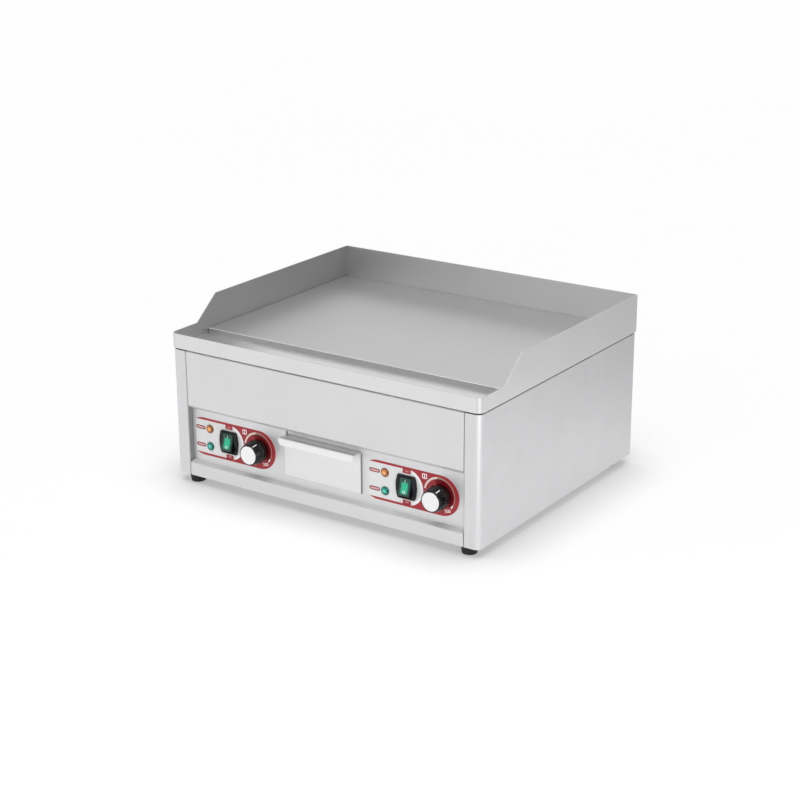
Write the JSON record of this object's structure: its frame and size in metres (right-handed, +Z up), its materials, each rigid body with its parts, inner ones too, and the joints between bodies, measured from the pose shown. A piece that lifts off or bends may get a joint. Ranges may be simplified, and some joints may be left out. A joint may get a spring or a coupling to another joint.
{
  "type": "countertop griddle",
  "caption": "Countertop electric griddle: steel plate in a tray with splash guards, folded casing on rubber feet, grease drawer and knob, rocker switch and lamps for each zone.",
  "frame": {"origin": "bottom centre of the overall box, on the surface that the feet stand on", "axes": "+X to the griddle's right seen from the front, +Y to the back, +Z up"},
  "size_m": [0.6, 0.5304, 0.3],
  "materials": {
    "casing_steel": "fine brushed stainless sheet",
    "tray_steel": "fine brushed stainless sheet",
    "plate_steel": "ground steel cooking plate",
    "drawer_steel": "fine brushed stainless sheet",
    "handle_steel": "fine brushed stainless strip",
    "shield_steel": "galvanised sheet",
    "fastener_steel": "zinc plated steel",
    "element_sheath": "dark oxidised heater sheath",
    "capillary_copper": "drawn copper",
    "ceramic_fibre": "white fibre mat",
    "ceramic": "steatite ceramic",
    "thermostat_body": "moulded and pressed thermostat body",
    "knob_black": "glossy black moulding",
    "cap_metal": "satin spun disc",
    "switch_black": "glossy black moulding",
    "rocker_green": "green translucent moulding in a black rocker",
    "lamp_amber": "amber translucent lens",
    "lamp_green": "green translucent lens",
    "overlay_film": "printed film, silver ground with red lines",
    "foot_rubber": "black moulded rubber",
    "gland_nylon": "black nylon"
  },
  "bodies": {
    "casing": {"left_side_panel": "casing_steel", "right_side_panel": "casing_steel", "front_panel": "casing_steel", "back_panel": "casing_steel", "base_pan": "casing_steel", "tray_floor": "tray_steel", "splash_guard": "tray_steel", "griddle_plate": "plate_steel", "drain_spout": "tray_steel", "heat_shield": "shield_steel", "insulation_blanket": "ceramic_fibre", "plate_studs": "fastener_steel", "clamp_nuts": "fastener_steel", "drawer_sleeve": "shield_steel", "sleeve_bracket": "shield_steel", "thermostat_screws": "fastener_steel", "foot_screws": "fastener_steel", "foot_nuts": "fastener_steel", "back_screws": "fastener_steel", "cable_gland": "gland_nylon", "gland_locknut": "gland_nylon", "terminal_block": "ceramic", "bonding_stud": "fastener_steel", "foot_front_left": "foot_rubber", "foot_front_right": "foot_rubber", "foot_rear_left": "foot_rubber", "foot_rear_right": "foot_rubber", "control_overlay_left": "overlay_film", "thermostat_left": "thermostat_body", "thermostat_bulb_left": "capillary_copper", "switch_housing_left": "switch_black", "lamp_amber_left": "lamp_amber", "lamp_green_left": "lamp_green", "heating_element_left": "element_sheath", "element_clamp_front_left": "fastener_steel", "element_clamp_rear_left": "fastener_steel", "control_overlay_right": "overlay_film", "thermostat_right": "thermostat_body", "thermostat_bulb_right": "capillary_copper", "switch_housing_right": "switch_black", "lamp_amber_right": "lamp_amber", "lamp_green_right": "lamp_green", "heating_element_right": "element_sheath", "element_clamp_front_right": "fastener_steel", "element_clamp_rear_right": "fastener_steel"},
    "drawer": {"drawer_pan": "drawer_steel", "drawer_front": "drawer_steel", "drawer_handle": "handle_steel"},
    "left_knob": {"knob_left": "knob_black", "knob_cap_left": "cap_metal", "thermostat_shaft_left": "fastener_steel"},
    "left_rocker": {"rocker_left": "rocker_green"},
    "right_knob": {"knob_right": "knob_black", "knob_cap_right": "cap_metal", "thermostat_shaft_right": "fastener_steel"},
    "right_rocker": {"rocker_right": "rocker_green"}
  },
  "joints": [
    {"name": "drawer_slide", "type": "slide", "parent": "casing", "child": "drawer", "axis": [0, -1, 0], "range_m": [0, 0.24]},
    {"name": "left_knob_turn", "type": "hinge", "parent": "casing", "child": "left_knob", "pos_m": [-0.1282, -0.26485, 0.086], "axis": [0, 1, 0], "range_deg": [0, 280]},
    {"name": "left_rocker_tilt", "type": "hinge", "parent": "casing", "child": "left_rocker", "pos_m": [-0.1917, -0.23215, 0.086], "axis": [1, 0, 0], "range_deg": [0, 28]},
    {"name": "right_knob_turn", "type": "hinge", "parent": "casing", "child": "right_knob", "pos_m": [0.2242, -0.26485, 0.086], "axis": [0, 1, 0], "range_deg": [0, 280]},
    {"name": "right_rocker_tilt", "type": "hinge", "parent": "casing", "child": "right_rocker", "pos_m": [0.1607, -0.23215, 0.086], "axis": [1, 0, 0], "range_deg": [0, 28]}
  ]
}
